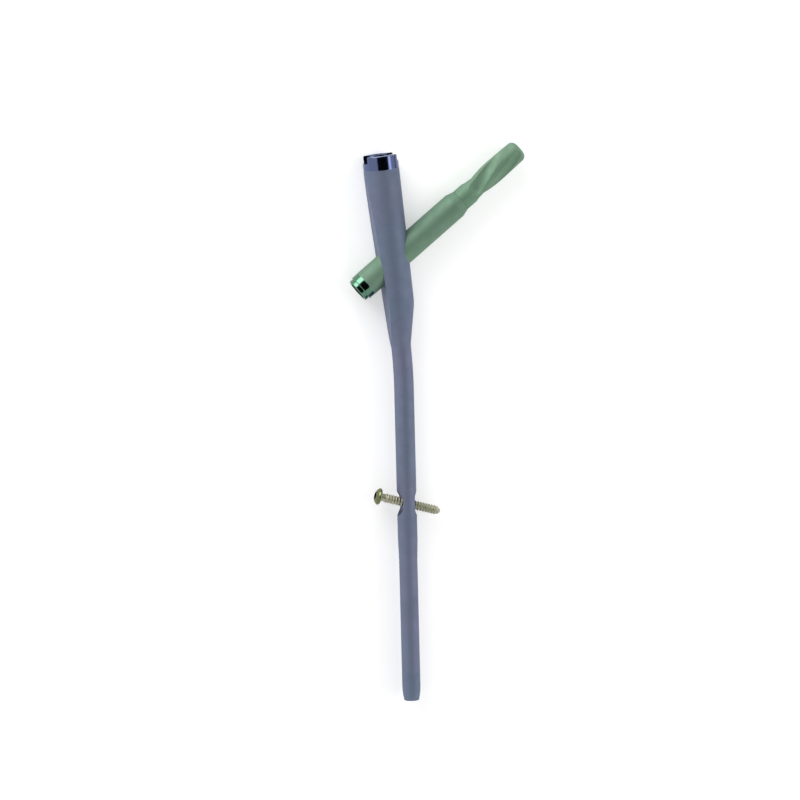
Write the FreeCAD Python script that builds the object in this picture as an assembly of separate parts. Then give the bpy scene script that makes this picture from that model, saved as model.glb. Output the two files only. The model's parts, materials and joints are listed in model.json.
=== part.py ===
"""Trochanteric intramedullary nail with its helical blade and one distal locking screw.

The nail is a cannulated titanium rod with a wide round top, a cone, a slight bend towards
its lateral side and a slotted thin shaft. The blade assembly slides in an oblique bore
through the top. Its sleeve carries the blade, which spins freely until the lock bolt draws
the draw nut back and so seats the blade's collar on the sleeve. The locking screw crosses
the distal slot.

Frame: +Y runs along the nail's top axis out of its rim, +X is medial, towards the blade's
tip, and +Z is anterior. The part lies on its posterior side. The origin is on the top axis,
in the plane of the two notch floors, where an insertion handle seats. Millimetres.

Stations on the nail are distances from the rim along its centre line. Stations on the blade
are distances from the crossing with the nail's top axis, positive towards the blade's tip.
"""
import FreeCAD, Part
import math
import os

from FreeCAD import Placement, Rotation, Vector

# Nail, outside
nail_length = 240.0
top_dia = 15.6
top_length = 65.7
cone_length = 18.1
shaft_dia = 8.6
bend_angle = 5.0
bend_length = 20.0
relief_start = 169.0
relief_length = 9.0
relief_dia = 8.0
nose_length = 6.5
nose_bulge_dia = 7.5
nose_bulge_from_end = 3.0
nose_dia = 6.6
nose_round = 0.4
rim_chamfer = 0.5

# Lateral flat on the top, a long wedge and then a step level with the shaft's own side
flat_start = 7.0
flat_wedge_end = 66.0
flat_end_gap = 0.1

# Handle seat in the rim, and the bore along the nail
notch_width = 8.5
notch_depth = 3.0
socket_dia = 11.0
socket_depth = 17.0
socket_chamfer = 0.6
socket_relief_dia = 11.8
socket_relief_length = 1.5
socket_floor_cone = 3.0
cannulation_dia = 4.4

# Distal slot, with a wider mouth on each side
slot_station = 153.05
slot_width = 4.9
slot_height = 9.6
lateral_mouth_width = 7.2
medial_mouth_width = 6.1
mouth_height = 11.0
mouth_floor_from_axis = 2.3
mouth_taper_length = 1.2

# Blade axis
blade_station = 46.6
neck_shaft_angle = 128.8
blade_bore_clearance = 0.05

# Sleeve
sleeve_dia = 11.75
sleeve_rear_reach = 19.8
sleeve_length = 59.8
sleeve_lip_dia = 10.6
sleeve_lip_length = 1.9
sleeve_lip_round = 0.5
sleeve_cone_length = 3.5
sleeve_front_dia = 9.85
driver_bore_dia = 8.8
nut_bore_dia = 8.2
bearing_bore_dia = 6.4
bearing_length = 19.8
bolt_shoulder_depth = 12.7

# Blade
blade_wire_bore_dia = 3.4
seat_gap = 0.05
collar_length = 4.3
head_length = 30.05
head_swell_dia = 10.15
head_swell_from_collar = 13.0
head_end_dia = 9.6
tip_dia = 5.2
tip_length = 2.7
tip_shoulder_dia = 8.5
tip_shoulder_length = 0.9
flute_count = 4
flute_cutter_dia = 7.5
flute_core_dia = 6.5
flute_twist_per_mm = 3.2
flute_start_from_collar = 3.75
flute_start_angle = 84.0
flute_runout_angle = 2.5

# Draw nut, which slides in the sleeve on its key
nut_length = 14.0
nut_front_wall = 2.5
nut_thread_length = 7.0
nut_chamber_dia = 6.8
nut_front_gap = 0.3
nut_travel = 1.2
nut_travel_end_gap = 0.6
key_width = 1.5
key_height = 0.25

# Blade journal and its split ring in the draw nut
journal_dia = 5.1
journal_tail = 3.0
journal_ring_thickness = 1.0
journal_ring_dia = 6.6
journal_groove_dia = 4.2

# Lock bolt, with its split ring in the sleeve
bolt_dia = 5.9
bolt_head_length = 4.85
bolt_end_gap = 1.6
bolt_hex_flats = 5.0
bolt_hex_depth = 3.2
bolt_ring_thickness = 0.8
bolt_ring_groove_depth = 0.5
bolt_ring_bore_dia = 7.4

# Clearances
running_clearance = 0.05
face_clearance = 0.05
ring_gap_angle = 40.0

# Locking screw
screw_tilt = 16.3
screw_dia = 4.1
screw_neck_dia = 3.5
screw_neck_length = 2.2
screw_under_head_reach = 12.3
screw_tip_reach = 15.1
screw_point_length = 1.9
screw_point_dia = 2.6
screw_point_round = 0.6
screw_head_dia = 7.5
screw_head_edge = 0.6
screw_head_chamfer = 0.27
screw_head_height = 2.3
screw_dome_shoulder_dia = 6.0
screw_dome_shoulder_height = 1.05
screw_hex_flats = 3.5
screw_hex_depth = 1.6

# Worked out from the sizes above
top_radius = top_dia / 2
shaft_radius = shaft_dia / 2
cone_end = top_length + cone_length
bend_radius = bend_length / math.radians(bend_angle)
bend_end = cone_end + bend_length
sleeve_rear = -sleeve_rear_reach
sleeve_front = sleeve_rear + sleeve_length
bolt_shoulder = sleeve_rear + bolt_shoulder_depth
bearing_start = sleeve_front - bearing_length
nut_front = bearing_start - nut_travel - nut_travel_end_gap
nut_rear = nut_front - nut_length
nut_chamber_start = nut_rear + nut_thread_length
nut_chamber_end = nut_front - nut_front_wall
journal_ring_front = nut_chamber_end - face_clearance
journal_ring_rear = journal_ring_front - journal_ring_thickness
journal_rear = journal_ring_rear - journal_tail + journal_ring_thickness
bolt_front = journal_rear - bolt_end_gap
bolt_head_rear = bolt_shoulder - face_clearance - bolt_head_length
bolt_ring_front = bolt_head_rear - face_clearance
bolt_ring_rear = bolt_ring_front - bolt_ring_thickness
collar_end = sleeve_front + seat_gap + collar_length
blade_tip = collar_end + head_length

UP = Vector(0, 0, 1)
ALONG = Vector(0, 0, 1)


def turned(start, *steps):
    """Solid of revolution about the local Z axis.

    A corner is (station, radius). A step is the next corner, or a pair of corners: the
    middle and the end of an arc.
    """
    def place(corner):
        return Vector(corner[1], 0, corner[0])

    here = place(start)
    first_on_axis = Vector(0, 0, here.z)
    edges = [Part.makeLine(first_on_axis, here)]
    for step in steps:
        if isinstance(step[0], tuple):
            middle, end = place(step[0]), place(step[1])
            edges.append(Part.Arc(here, middle, end).toShape())
        else:
            end = place(step)
            edges.append(Part.makeLine(here, end))
        here = end
    last_on_axis = Vector(0, 0, here.z)
    edges.append(Part.makeLine(here, last_on_axis))
    edges.append(Part.makeLine(last_on_axis, first_on_axis))
    return Part.Face(Part.Wire(edges)).revolve(Vector(), ALONG, 360)


def rod(radius, start, end):
    """Cylinder on the local Z axis between two stations."""
    return Part.makeCylinder(radius, end - start, Vector(0, 0, start), ALONG)


def ring_with_gap(bore_radius, outer_radius, start, end):
    """Split spring ring on the local Z axis, with its gap on +X."""
    ring = rod(outer_radius, start, end).cut(rod(bore_radius, start, end))
    reach = 2 * outer_radius
    half_gap = math.radians(ring_gap_angle / 2)
    across = reach * math.sin(half_gap)
    ahead = reach * math.cos(half_gap)
    corners = [Vector(0, 0, start), Vector(ahead, -across, start), Vector(ahead, across, start)]
    wedge = Part.Face(Part.makePolygon(corners + corners[:1])).extrude(ALONG * (end - start))
    return ring.cut(wedge)


def hexagon(across_flats, start, end):
    """Six-sided prism on the local Z axis."""
    corner_radius = across_flats / math.sqrt(3)
    corners = []
    for index in range(7):
        angle = math.radians(60 * index)
        corners.append(Vector(corner_radius * math.cos(angle), corner_radius * math.sin(angle), start))
    return Part.Face(Part.makePolygon(corners)).extrude(ALONG * (end - start))


def obround(width, height, from_axis):
    """Closed slot outline in the plane x = from_axis, its long way along the local Z."""
    radius = width / 2
    straight = height / 2 - radius

    def corner(y, z):
        return Vector(from_axis, y, z)

    return Part.Wire([
        Part.makeLine(corner(radius, -straight), corner(radius, straight)),
        Part.Arc(corner(radius, straight), corner(0, height / 2), corner(-radius, straight)).toShape(),
        Part.makeLine(corner(-radius, straight), corner(-radius, -straight)),
        Part.Arc(corner(-radius, -straight), corner(0, -height / 2), corner(radius, -straight)).toShape(),
    ])


def top_placement():
    """Local Z down the nail's top axis from the rim, local Y anterior."""
    return Placement(Vector(0, notch_depth, 0), Rotation(Vector(1, 0, 0), 90))


def shaft_placement():
    """Local Z down the shaft's axis from the bend's end, local Y anterior, local X medial."""
    angle = math.radians(bend_angle)
    end = Vector(bend_radius * (math.cos(angle) - 1),
                 notch_depth - cone_end - bend_radius * math.sin(angle), 0)
    turn = Rotation(UP, -bend_angle).multiply(Rotation(Vector(1, 0, 0), 90))
    return Placement(end, turn)


def blade_placement():
    """Local Z along the blade towards its tip, local Y anterior, origin at the crossing."""
    lean = neck_shaft_angle - bend_angle
    angle = math.radians(lean - 90)
    towards_tip = Vector(math.cos(angle), math.sin(angle), 0)
    sideways = UP.cross(towards_tip)
    turn = Rotation(sideways, UP, towards_tip, "ZXY")
    return Placement(Vector(0, notch_depth - blade_station, 0), turn)


def screw_placement():
    """Local Z along the screw towards its point, origin on the shaft's axis in the slot."""
    centre = shaft_placement().multVec(Vector(0, 0, slot_station - bend_end))
    turn = Rotation(UP, -bend_angle - screw_tilt).multiply(Rotation(Vector(0, 1, 0), 90))
    return Placement(centre, turn)


def placed(shape, placement):
    """Moves a shape from its local frame to the part's frame."""
    moved = shape.copy()
    moved.Placement = placement.multiply(moved.Placement)
    return moved


def bent_rod(top_piece, bend_section_radius, shaft_piece):
    """Joins a piece on the top axis to one on the shaft's axis through the bend."""
    bend_start = Vector(0, notch_depth - cone_end, 0)
    circle = Part.Wire(Part.makeCircle(bend_section_radius, bend_start, Vector(0, -1, 0)))
    bend_centre = bend_start - Vector(bend_radius, 0, 0)
    bend = Part.Face(circle).revolve(bend_centre, -UP, bend_angle)
    pieces = [bend, placed(shaft_piece, shaft_placement())]
    return placed(top_piece, top_placement()).multiFuse(pieces).removeSplitter()


def nail_outside():
    """Top, cone, bend, shaft with its relief, and the rounded nose."""
    top = turned(
        (0, top_radius - rim_chamfer), (rim_chamfer, top_radius),
        (top_length, top_radius), (cone_end, shaft_radius))
    relief_radius = relief_dia / 2
    nose_radius = nose_dia / 2
    round_start = nail_length - nose_round
    shaft = turned(
        (0, shaft_radius), (relief_start - bend_end, shaft_radius),
        (relief_start + relief_length - bend_end, relief_radius),
        (nail_length - nose_length - bend_end, relief_radius),
        ((nail_length - nose_bulge_from_end - bend_end, nose_bulge_dia / 2),
         (round_start - bend_end, nose_radius)),
        (nail_length - bend_end, nose_radius - nose_round))
    return bent_rod(top, shaft_radius, shaft)


def nail_bore():
    """Handle socket with its thread relief, and the guide wire's bore down to the nose."""
    socket_radius = socket_dia / 2
    wire_radius = cannulation_dia / 2
    relief_radius = socket_relief_dia / 2
    thread_end = notch_depth + socket_depth
    socket_floor = thread_end + socket_relief_length
    top = turned(
        (0, socket_radius + socket_chamfer), (socket_chamfer, socket_radius),
        (thread_end, socket_radius), (thread_end, relief_radius),
        (socket_floor, relief_radius),
        (socket_floor + socket_floor_cone, wire_radius), (cone_end, wire_radius))
    shaft = rod(wire_radius, 0, nail_length - bend_end)
    return bent_rod(top, wire_radius, shaft)


def lateral_flat():
    """Cut on the top's lateral side, from its full radius to the shaft's own side."""
    start_y = notch_depth - flat_start
    end_y = notch_depth - cone_end
    level = -shaft_radius - flat_end_gap
    beyond = -2 * top_radius
    corners = [Vector(-top_radius, start_y, -top_radius),
               Vector(level, notch_depth - flat_wedge_end, -top_radius),
               Vector(level, end_y, -top_radius),
               Vector(beyond, end_y, -top_radius), Vector(beyond, start_y, -top_radius)]
    return Part.Face(Part.makePolygon(corners + corners[:1])).extrude(UP * top_dia)


def rim_notches():
    """One slot across the rim, which leaves a notch on the medial and lateral sides."""
    return Part.makeBox(2 * top_dia, notch_depth, notch_width,
                        Vector(-top_dia, 0, -notch_width / 2))


def slot_mouth(side, mouth_width):
    """Wider mouth of the distal slot on the side -1 (lateral) or 1 (medial)."""
    outer = obround(mouth_width, mouth_height, side * mouth_floor_from_axis)
    inner = obround(slot_width, slot_height, side * (mouth_floor_from_axis - mouth_taper_length))
    taper = Part.makeLoft([inner, outer], True, True)
    straight = Part.Face(outer).extrude(Vector(side * shaft_radius, 0, 0))
    return taper.fuse(straight)


def distal_slot():
    """Slot through the shaft from its lateral to its medial side."""
    through = Part.Face(obround(slot_width, slot_height, -shaft_dia))
    cutter = through.extrude(Vector(2 * shaft_dia, 0, 0)).multiFuse([
        slot_mouth(-1, lateral_mouth_width), slot_mouth(1, medial_mouth_width)])
    cutter.translate(Vector(0, 0, slot_station - bend_end))
    return placed(cutter, shaft_placement())


def blade_bore():
    """Oblique bore that guides the sleeve."""
    reach = 2 * top_dia
    bore = rod(sleeve_dia / 2 + blade_bore_clearance, -reach, reach)
    return placed(bore, blade_placement())


def nail():
    """The whole nail, with its flat, bores, notches and slot."""
    body = nail_outside().cut(lateral_flat())
    return body.cut([nail_bore(), rim_notches(), distal_slot(), blade_bore()])


def blade_sleeve():
    """Sleeve that slides in the nail, stepped inside for the bolt, the nut and the blade."""
    radius = sleeve_dia / 2
    lip_radius = sleeve_lip_dia / 2
    outside = turned(
        (sleeve_rear, lip_radius - sleeve_lip_round),
        (sleeve_rear + sleeve_lip_round, lip_radius),
        (sleeve_rear + sleeve_lip_length, lip_radius),
        (sleeve_rear + sleeve_lip_length, radius),
        (sleeve_front - sleeve_cone_length, radius),
        (sleeve_front, sleeve_front_dia / 2))
    driver_radius = driver_bore_dia / 2
    nut_radius = nut_bore_dia / 2
    bearing_radius = bearing_bore_dia / 2
    inside = turned(
        (sleeve_rear, driver_radius), (bolt_shoulder, driver_radius),
        (bolt_shoulder, nut_radius), (bearing_start, nut_radius),
        (bearing_start, bearing_radius), (sleeve_front, bearing_radius))
    groove_radius = driver_radius + bolt_ring_groove_depth
    groove = rod(groove_radius, bolt_ring_rear - face_clearance, bolt_ring_front + face_clearance)
    keyway = Part.makeBox(
        nut_radius + key_height + running_clearance, key_width + 2 * running_clearance,
        bearing_start - bolt_shoulder,
        Vector(0, -key_width / 2 - running_clearance, bolt_shoulder))
    return outside.cut([inside, groove, keyway])


def draw_nut():
    """Keyed nut that the bolt pulls back and that holds the blade's journal."""
    radius = nut_bore_dia / 2 - running_clearance
    body = rod(radius, nut_rear, nut_front)
    key = Part.makeBox(nut_bore_dia / 2 + key_height, key_width, nut_length,
                       Vector(0, -key_width / 2, nut_rear))
    thread_radius = bolt_dia / 2 + running_clearance
    chamber_radius = nut_chamber_dia / 2
    journal_radius = journal_dia / 2 + running_clearance
    inside = turned(
        (nut_rear, thread_radius), (nut_chamber_start, thread_radius),
        (nut_chamber_start, chamber_radius), (nut_chamber_end, chamber_radius),
        (nut_chamber_end, journal_radius), (nut_front, journal_radius))
    return body.fuse(key).cut(inside).removeSplitter()


def journal_ring():
    """Split ring that keeps the blade's journal in the draw nut."""
    return ring_with_gap(journal_groove_dia / 2, journal_ring_dia / 2,
                         journal_ring_rear, journal_ring_front)


def lock_bolt():
    """Cannulated bolt whose head is captive between the sleeve's shoulder and its ring."""
    head_radius = driver_bore_dia / 2 - running_clearance
    shank_radius = bolt_dia / 2
    head_front = bolt_shoulder - face_clearance
    body = turned(
        (bolt_head_rear, head_radius), (head_front, head_radius),
        (head_front, shank_radius), (bolt_front, shank_radius))
    socket = hexagon(bolt_hex_flats, bolt_head_rear, bolt_head_rear + bolt_hex_depth)
    return body.cut([socket, rod(blade_wire_bore_dia / 2, bolt_head_rear, bolt_front)])


def bolt_ring():
    """Split ring in the sleeve's groove, behind the bolt's head."""
    groove_radius = driver_bore_dia / 2 + bolt_ring_groove_depth
    return ring_with_gap(bolt_ring_bore_dia / 2, groove_radius, bolt_ring_rear, bolt_ring_front)


def flute_cutter(start_angle):
    """Path of a ball-ended cutter, left-handed, that rises out of the blade towards its tip."""
    path_radius = (flute_core_dia + flute_cutter_dia) / 2
    start = collar_end + flute_start_from_collar
    pitch = 360 / flute_twist_per_mm
    height = blade_tip + flute_cutter_dia - start
    path = Part.makeHelix(pitch, height, path_radius, flute_runout_angle, True)
    outward = pitch * math.tan(math.radians(flute_runout_angle))
    rise = Vector(outward, -2 * math.pi * path_radius, pitch)
    first = Vector(path_radius, 0, 0)
    section = Part.Wire(Part.makeCircle(flute_cutter_dia / 2, first, rise))
    groove = Part.Wire(path).makePipeShell([section], True, True)
    ball = Part.makeSphere(flute_cutter_dia / 2, first, rise)
    placement = Placement(Vector(0, 0, start), Rotation(ALONG, start_angle))
    return [placed(groove, placement), placed(ball, placement)]


def helical_blade():
    """Journal, bearing shaft, collar and fluted head in one piece."""
    shaft_rear = nut_front + nut_front_gap
    bearing_radius = bearing_bore_dia / 2 - running_clearance
    collar_radius = sleeve_front_dia / 2
    collar_rear = sleeve_front + seat_gap
    swell_station = collar_end + head_swell_from_collar
    nose_start = blade_tip - tip_length
    blade = turned(
        (journal_rear, journal_dia / 2), (shaft_rear, journal_dia / 2),
        (shaft_rear, bearing_radius), (collar_rear, bearing_radius),
        (collar_rear, collar_radius), (collar_end, collar_radius),
        ((swell_station, head_swell_dia / 2), (nose_start, head_end_dia / 2)),
        ((blade_tip - tip_shoulder_length, tip_shoulder_dia / 2), (blade_tip, tip_dia / 2)))
    for index in range(flute_count):
        blade = blade.cut(flute_cutter(flute_start_angle + index * 360 / flute_count))
    groove = rod(journal_dia, journal_ring_rear, journal_ring_front)
    groove = groove.cut(rod(journal_groove_dia / 2, journal_ring_rear, journal_ring_front))
    return blade.cut([groove, rod(blade_wire_bore_dia / 2, journal_rear, blade_tip)])


def locking_screw():
    """Domed screw with a hexagonal recess. Its shank stands for the thread's outside."""
    under_head = -screw_under_head_reach
    head_edge = under_head - screw_head_edge
    head_top = under_head - screw_head_height
    head_radius = screw_head_dia / 2
    shank_radius = screw_dia / 2
    dome_shoulder = (head_edge - screw_dome_shoulder_height, screw_dome_shoulder_dia / 2)
    recess_radius = screw_hex_flats / 2
    body = turned(
        (head_top, recess_radius),
        (dome_shoulder, (head_edge, head_radius)),
        (under_head, head_radius - screw_head_chamfer),
        (under_head, screw_neck_dia / 2),
        (under_head + screw_neck_length, screw_neck_dia / 2),
        (under_head + screw_neck_length + (screw_dia - screw_neck_dia) / 2, shank_radius),
        (screw_tip_reach - screw_point_length, shank_radius),
        (screw_tip_reach - screw_point_round, screw_point_dia / 2),
        (screw_tip_reach, screw_point_dia / 2 - screw_point_round))
    return body.cut(hexagon(screw_hex_flats, head_top, head_top + screw_hex_depth))


def main():
    """Builds every sub-part and writes its STEP file."""
    on_blade = blade_placement()
    sub_parts = {
        "nail": nail(),
        "blade_sleeve": placed(blade_sleeve(), on_blade),
        "lock_bolt": placed(lock_bolt(), on_blade),
        "bolt_ring": placed(bolt_ring(), on_blade),
        "draw_nut": placed(draw_nut(), on_blade),
        "journal_ring": placed(journal_ring(), on_blade),
        "helical_blade": placed(helical_blade(), on_blade),
        "locking_screw": placed(locking_screw(), screw_placement()),
    }
    os.makedirs("parts", exist_ok=True)
    for name, shape in sub_parts.items():
        shape.exportStep(f"parts/{name}.step")
        print(f"{name}: {len(shape.Solids)} solid, {shape.Volume / 1000:.3f} cm3, valid {shape.isValid()}")


main()
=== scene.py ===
"""Visual model of a trochanteric nail with its helical blade and distal locking screw.

Every piece is built straight in its own frame, with the local Z axis along the piece, and is
then placed in the row frame. Sizes are in millimetres and meshes in metres. Stations on the
nail are distances from the rim along its centre line. Stations on the blade are distances
from the crossing with the nail's top axis, and on the screw from the shaft's axis.
"""
import json
import logging
import math
from collections.abc import Callable, Mapping, Sequence
from dataclasses import dataclass
from enum import Enum
from typing import Any

import bmesh
import bpy
from mathutils import Matrix, Vector

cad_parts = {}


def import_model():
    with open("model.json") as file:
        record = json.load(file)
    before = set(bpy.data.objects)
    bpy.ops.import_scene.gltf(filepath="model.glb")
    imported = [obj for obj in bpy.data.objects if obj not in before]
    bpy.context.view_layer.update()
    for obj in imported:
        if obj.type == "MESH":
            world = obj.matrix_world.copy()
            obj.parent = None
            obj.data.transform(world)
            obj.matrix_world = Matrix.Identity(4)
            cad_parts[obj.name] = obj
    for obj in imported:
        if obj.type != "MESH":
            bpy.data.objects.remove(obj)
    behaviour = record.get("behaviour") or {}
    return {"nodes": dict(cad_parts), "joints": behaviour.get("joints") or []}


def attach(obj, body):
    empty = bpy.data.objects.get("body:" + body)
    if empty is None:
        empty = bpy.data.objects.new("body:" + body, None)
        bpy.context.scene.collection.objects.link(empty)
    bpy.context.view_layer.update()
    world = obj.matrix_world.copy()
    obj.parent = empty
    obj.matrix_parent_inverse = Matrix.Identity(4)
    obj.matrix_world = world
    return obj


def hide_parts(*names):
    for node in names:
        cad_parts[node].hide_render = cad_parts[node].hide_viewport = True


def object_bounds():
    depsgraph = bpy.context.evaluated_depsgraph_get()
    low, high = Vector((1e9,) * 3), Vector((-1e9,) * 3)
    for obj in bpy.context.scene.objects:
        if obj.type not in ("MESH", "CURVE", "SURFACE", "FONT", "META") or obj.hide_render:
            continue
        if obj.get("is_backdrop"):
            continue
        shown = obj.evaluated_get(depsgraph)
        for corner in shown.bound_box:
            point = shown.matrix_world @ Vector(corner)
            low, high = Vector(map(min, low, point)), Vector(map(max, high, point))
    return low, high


MM = 0.001
UP = Vector((0.0, 0.0, 1.0))
TOWARDS_TOP = Vector((0.0, 1.0, 0.0))
# The object's middle, in metres, which the lamps aim at and the floor lies round.
MIDDLE = Vector((0.0, -0.1, 0.0))
POLE_MERGE_DISTANCE = 1e-7
SHARP_ANGLE = math.radians(38.0)
BLUNT_ANGLE = math.radians(60.0)

# How far a cutter reaches past what it cuts, in millimetres.
CUTTER_REACH = 1.0
# Longest share of an edge that a rounding takes up.
ROUNDING_SHARE = 0.4
# Reach of the point beside a rounding, as a share of the rounding's own.
SUPPORT_SHARE = 1.2
# How far the middle of a quarter round stays short of its corner, as a share of its radius.
QUARTER_ROUND_SHARE = 0.3

log = logging.getLogger("nail")

Outline = list[tuple[float, float]]


class Side(Enum):
    """Side of the nail that a mouth of the distal slot is on, as the sign of its local X."""

    LATERAL = -1
    MEDIAL = 1


# Shared mesh tools


def frame_matrix(origin: Vector, along: Vector, across: Vector) -> Matrix:
    """Frame of a piece in the row frame.

    Args:
        origin: The frame's origin, in metres.
        along: Direction of the local Z axis.
        across: Direction of the local X axis, square to along.

    Returns:
        The matrix from the piece's frame to the row frame.
    """
    third = along.cross(across)
    turn = Matrix((across, third, along)).transposed().to_4x4()
    return Matrix.Translation(origin) @ turn


def three_point_arc(
    start: tuple[float, float], middle: tuple[float, float], end: tuple[float, float], steps: int
) -> Outline:
    """Points on the circle through three points, without the first.

    Args:
        start: Station and radius where the arc starts.
        middle: A point on the arc.
        end: Station and radius where the arc ends.
        steps: Number of chords.

    Returns:
        The points after the start, with the end last.
    """
    (ax, ay), (bx, by), (cx, cy) = start, middle, end
    scale = 2 * (ax * (by - cy) + bx * (cy - ay) + cx * (ay - by))
    a2, b2, c2 = ax * ax + ay * ay, bx * bx + by * by, cx * cx + cy * cy
    ux = (a2 * (by - cy) + b2 * (cy - ay) + c2 * (ay - by)) / scale
    uy = (a2 * (cx - bx) + b2 * (ax - cx) + c2 * (bx - ax)) / scale
    radius = math.hypot(ax - ux, ay - uy)
    first = math.atan2(ay - uy, ax - ux)
    sweep = math.atan2(cy - uy, cx - ux) - first
    sweep -= 2 * math.pi * round(sweep / (2 * math.pi))
    turns = [first + sweep * step / steps for step in range(1, steps + 1)]
    return [(ux + radius * math.cos(turn), uy + radius * math.sin(turn)) for turn in turns]


def rounded(corners: Sequence[tuple[float, ...]], closed: bool, steps: int = 4) -> Outline:
    """Outline with its corners rounded.

    Args:
        corners: Station and radius of each corner, and its rounding where it has one.
        closed: Whether the last corner joins the first.
        steps: Number of chords in each rounding.

    Returns:
        The outline's points. Each rounding has a point beside it that keeps its shading short.
    """
    points = [Vector(corner[:2]) for corner in corners]
    outline: Outline = []
    for index, corner in enumerate(corners):
        here = points[index]
        at_end = not closed and index in (0, len(corners) - 1)
        if len(corner) < 3 or corner[2] == 0 or at_end:
            outline.append((here.x, here.y))
            continue
        back = points[index - 1] - here
        ahead = points[(index + 1) % len(points)] - here
        half_angle = back.angle(ahead) / 2
        longest = ROUNDING_SHARE * min(back.length, ahead.length)
        reach = min(corner[2] / math.tan(half_angle), longest)
        back_unit, ahead_unit = back.normalized(), ahead.normalized()
        outline.append(tuple(here + back_unit * reach * SUPPORT_SHARE))
        for step in range(steps + 1):
            share = step / steps
            bend = back_unit * reach * (1 - share) ** 2 + ahead_unit * reach * share ** 2
            outline.append(tuple(here + bend))
        outline.append(tuple(here + ahead_unit * reach * SUPPORT_SHARE))
    return outline


def divided(outline: Outline, step: float, start: float, end: float, closed: bool) -> Outline:
    """Outline whose edges between two stations are no longer than a step.

    Args:
        outline: The outline.
        step: Longest edge wanted.
        start: Station where the fine part starts.
        end: Station where it ends.
        closed: Whether the last point joins the first.

    Returns:
        The outline with points added on its long edges.
    """
    result: Outline = []
    last = len(outline) if closed else len(outline) - 1
    for index in range(last):
        here, there = Vector(outline[index]), Vector(outline[(index + 1) % len(outline)])
        result.append(tuple(here))
        inside = start <= min(here.x, there.x) and max(here.x, there.x) <= end
        pieces = math.ceil((there - here).length / step) if inside else 1
        for piece in range(1, pieces):
            result.append(tuple(here.lerp(there, piece / pieces)))
    if not closed:
        result.append(outline[-1])
    return result


def revolved(name: str, outline: Outline, closed: bool, segments: int) -> bpy.types.Object:
    """Solid of revolution about the local Z axis.

    Args:
        name: The object's name.
        outline: Station and radius of each point, in millimetres.
        closed: Whether the last point joins the first, as round a bore.
        segments: Number of faces round the axis.

    Returns:
        The object, with its normals outwards.
    """
    mesh = bmesh.new()
    rings = []
    for station, radius in outline:
        ring = []
        for segment in range(segments):
            angle = 2 * math.pi * segment / segments
            place = Vector((radius * math.cos(angle), radius * math.sin(angle), station))
            ring.append(mesh.verts.new(place * MM))
        rings.append(ring)
    last = len(rings) if closed else len(rings) - 1
    for index in range(last):
        here, there = rings[index], rings[(index + 1) % len(rings)]
        for segment in range(segments):
            after = (segment + 1) % segments
            mesh.faces.new((here[segment], here[after], there[after], there[segment]))
    return finished_object(name, mesh)


def finished_object(name: str, mesh: bmesh.types.BMesh) -> bpy.types.Object:
    """Object from a bmesh, with poles merged and faces outwards.

    Args:
        name: The object's name.
        mesh: The bmesh, which is freed.

    Returns:
        The new object in the scene.
    """
    bmesh.ops.remove_doubles(mesh, verts=mesh.verts, dist=POLE_MERGE_DISTANCE)
    bmesh.ops.recalc_face_normals(mesh, faces=mesh.faces)
    data = bpy.data.meshes.new(name)
    mesh.to_mesh(data)
    mesh.free()
    piece = bpy.data.objects.new(name, data)
    bpy.context.scene.collection.objects.link(piece)
    return piece


def prism(name: str, sections: Sequence[Sequence[Vector]]) -> bpy.types.Object:
    """Closed solid through sections of the same number of points.

    Args:
        name: The object's name.
        sections: The sections in order, each a closed loop of points in millimetres.

    Returns:
        The object.
    """
    mesh = bmesh.new()
    loops = [[mesh.verts.new(point * MM) for point in section] for section in sections]
    for here, there in zip(loops, loops[1:]):
        for index in range(len(here)):
            after = (index + 1) % len(here)
            mesh.faces.new((here[index], here[after], there[after], there[index]))
    mesh.faces.new(loops[0])
    mesh.faces.new(loops[-1])
    return finished_object(name, mesh)


def baked(piece: bpy.types.Object) -> None:
    """Replaces the mesh of a piece by its evaluated mesh and removes its modifiers."""
    depsgraph = bpy.context.evaluated_depsgraph_get()
    result = bpy.data.meshes.new_from_object(piece.evaluated_get(depsgraph), depsgraph=depsgraph)
    piece.modifiers.clear()
    piece.data = result
    result.name = piece.name


def cut(piece: bpy.types.Object, cutters: Sequence[bpy.types.Object]) -> None:
    """Cuts solids from a piece one after the other and deletes them."""
    for cutter in cutters:
        boolean = piece.modifiers.new("cut", "BOOLEAN")
        boolean.operation = "DIFFERENCE"
        boolean.solver = "EXACT"
        boolean.object = cutter
        baked(piece)
        bpy.data.objects.remove(cutter)


def smoothed(piece: bpy.types.Object, sharp_angle: float = SHARP_ANGLE) -> None:
    """Shades a piece smooth, apart from the edges that turn more than an angle."""
    piece.data.shade_smooth()
    piece.data.set_sharp_from_angle(angle=sharp_angle)


def hexagon(across_flats: float, station: float) -> list[Vector]:
    """Corners of a hexagon square to the local Z axis."""
    radius = across_flats / math.sqrt(3)
    turns = [math.pi / 3 * index for index in range(6)]
    return [Vector((radius * math.cos(turn), radius * math.sin(turn), station)) for turn in turns]


# Node trees


def add_node(
    tree: bpy.types.NodeTree, kind: str, settings: Mapping[str, Any], *values: Any, **named: Any
) -> bpy.types.NodeSocket:
    """Adds a node with its settings and its inputs.

    Args:
        tree: The node tree.
        kind: The node's type name.
        settings: Properties to set on the node.
        values: Inputs in order: a socket to link, a value to set, or None to leave.
        named: Inputs by name, with _ for a space.

    Returns:
        The node's first output socket, or the last input of a node with no outputs.
    """
    node = tree.nodes.new(kind)
    for key, value in settings.items():
        setattr(node, key, value)
    inputs = [(node.inputs[index], value) for index, value in enumerate(values)]
    inputs += [(node.inputs[key.replace("_", " ")], value) for key, value in named.items()]
    for socket, value in inputs:
        if isinstance(value, bpy.types.NodeSocket):
            tree.links.new(value, socket)
        elif value is not None:
            socket.default_value = value
    outputs = [socket for socket in node.outputs if socket.enabled]
    return outputs[0] if outputs else node.inputs[-1]


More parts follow.
